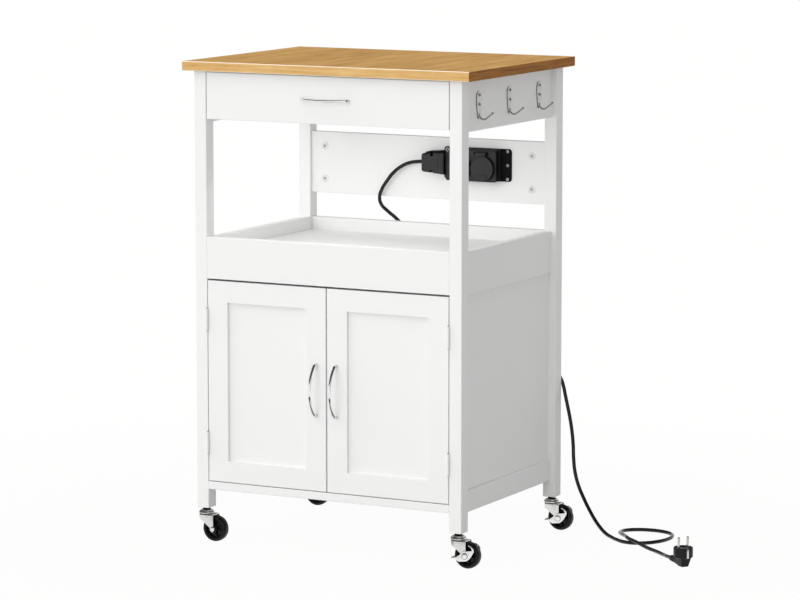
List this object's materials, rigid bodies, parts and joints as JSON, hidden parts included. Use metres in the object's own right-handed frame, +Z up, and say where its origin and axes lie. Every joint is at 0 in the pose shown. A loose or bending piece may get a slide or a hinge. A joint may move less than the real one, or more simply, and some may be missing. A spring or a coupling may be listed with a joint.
{
  "type": "microwave cart",
  "caption": "Wheeled kitchen cart: wooden top, drawer, open shelf with a socket strip, deep tray, doored cabinet, side hooks and swivel casters with brakes.",
  "frame": {"origin": "on the floor, under the middle of the wooden top", "axes": "+Z up, front towards -Y, +X to the right seen from the front"},
  "size_m": [0.947, 0.5069, 0.912],
  "materials": {
    "oak_top": "satin lacquered wood, grain along X",
    "white_paint": "satin white paint on board",
    "white_board": "plain white foiled board",
    "zinc": "bright zinc plate",
    "chrome": "polished",
    "white_metal": "white powder coat",
    "white_plastic": "satin",
    "black_plastic": "fine moulded texture",
    "contact_brass": "sprung strip",
    "cord_black": "satin sheath",
    "wheel_black": "satin"
  },
  "bodies": {
    "frame": {"tabletop": "oak_top", "leg_front_left": "white_paint", "leg_front_right": "white_paint", "leg_rear_left": "white_paint", "leg_rear_right": "white_paint", "apron_left": "white_paint", "apron_right": "white_paint", "apron_rear": "white_paint", "socket_board": "white_paint", "tray_front": "white_paint", "tray_rear": "white_paint", "tray_left": "white_paint", "tray_right": "white_paint", "tray_floor": "white_paint", "side_panel_left": "white_paint", "side_panel_right": "white_paint", "side_rails": "white_paint", "bottom_panel": "white_paint", "back_panel": "white_board", "shelf": "white_board", "shelf_pins": "zinc", "side_hooks": "zinc", "fixing_screws": "zinc", "caster_stems": "zinc", "plug_pins": "chrome", "hinge_leaves": "white_metal", "drawer_runners": "white_metal", "cam_locks": "white_plastic", "door_catch": "white_plastic", "cord_clip": "white_plastic", "socket_housing": "black_plastic", "cord_gland": "black_plastic", "plug_body": "black_plastic", "earth_clips": "contact_brass", "mains_cord": "cord_black"},
    "drawer": {"drawer_front": "white_paint", "drawer_side_left": "white_board", "drawer_side_right": "white_board", "drawer_back": "white_board", "drawer_bottom": "white_board", "drawer_slides": "white_metal", "drawer_handle": "chrome"},
    "left_door": {"door_left": "white_paint", "door_handle_left": "chrome", "door_fittings_left": "white_metal"},
    "right_door": {"door_right": "white_paint", "door_handle_right": "chrome", "door_fittings_right": "white_metal"},
    "left_lid": {"socket_lid_left": "black_plastic"},
    "right_lid": {"socket_lid_right": "black_plastic"},
    "front_left_fork": {"fork_front_left": "zinc"},
    "front_left_wheel": {"wheel_front_left": "wheel_black"},
    "rear_left_fork": {"fork_rear_left": "zinc"},
    "rear_left_wheel": {"wheel_rear_left": "wheel_black"},
    "front_right_fork": {"fork_front_right": "zinc"},
    "front_right_wheel": {"wheel_front_right": "wheel_black"},
    "front_right_brake": {"brake_front_right": "zinc"},
    "rear_right_fork": {"fork_rear_right": "zinc"},
    "rear_right_wheel": {"wheel_rear_right": "wheel_black"},
    "rear_right_brake": {"brake_rear_right": "zinc"}
  },
  "joints": [
    {"name": "drawer_slide", "type": "slide", "parent": "frame", "child": "drawer", "axis": [0, -1, 0], "range_m": [0, 0.26]},
    {"name": "left_door_hinge", "type": "hinge", "parent": "frame", "child": "left_door", "pos_m": [-0.25425, -0.2167, 0.3095], "axis": [0, 0, -1], "range_deg": [0, 170]},
    {"name": "right_door_hinge", "type": "hinge", "parent": "frame", "child": "right_door", "pos_m": [0.25425, -0.2167, 0.3095], "axis": [0, 0, 1], "range_deg": [0, 170]},
    {"name": "left_lid_hinge", "type": "hinge", "parent": "frame", "child": "left_lid", "pos_m": [0.086, 0.1618, 0.7245], "axis": [-1, 0, 0], "range_deg": [0, 100]},
    {"name": "right_lid_hinge", "type": "hinge", "parent": "frame", "child": "right_lid", "pos_m": [0.136, 0.1618, 0.7245], "axis": [-1, 0, 0], "range_deg": [0, 100]},
    {"name": "front_left_swivel", "type": "hinge", "parent": "frame", "child": "front_left_fork", "pos_m": [-0.2675, -0.2, 0.052], "axis": [0, 0, 1], "continuous": true},
    {"name": "front_left_roll", "type": "hinge", "parent": "front_left_fork", "child": "front_left_wheel", "pos_m": [-0.2475, -0.2, 0.025], "axis": [0, 1, 0], "continuous": true},
    {"name": "rear_left_swivel", "type": "hinge", "parent": "frame", "child": "rear_left_fork", "pos_m": [-0.2675, 0.2, 0.052], "axis": [0, 0, 1], "continuous": true},
    {"name": "rear_left_roll", "type": "hinge", "parent": "rear_left_fork", "child": "rear_left_wheel", "pos_m": [-0.2475, 0.2, 0.025], "axis": [0, 1, 0], "continuous": true},
    {"name": "front_right_swivel", "type": "hinge", "parent": "frame", "child": "front_right_fork", "pos_m": [0.2675, -0.2, 0.052], "axis": [0, 0, 1], "continuous": true},
    {"name": "front_right_roll", "type": "hinge", "parent": "front_right_fork", "child": "front_right_wheel", "pos_m": [0.2875, -0.2, 0.025], "axis": [0, 1, 0], "continuous": true},
    {"name": "front_right_brake_press", "type": "hinge", "parent": "front_right_fork", "child": "front_right_brake", "pos_m": [0.2875, -0.2, 0.025], "axis": [0, -1, 0], "range_deg": [0, 20]},
    {"name": "rear_right_swivel", "type": "hinge", "parent": "frame", "child": "rear_right_fork", "pos_m": [0.2675, 0.2, 0.052], "axis": [0, 0, 1], "continuous": true},
    {"name": "rear_right_roll", "type": "hinge", "parent": "rear_right_fork", "child": "rear_right_wheel", "pos_m": [0.2875, 0.2, 0.025], "axis": [0, 1, 0], "continuous": true},
    {"name": "rear_right_brake_press", "type": "hinge", "parent": "rear_right_fork", "child": "rear_right_brake", "pos_m": [0.2875, 0.2, 0.025], "axis": [0, -1, 0], "range_deg": [0, 20]}
  ]
}
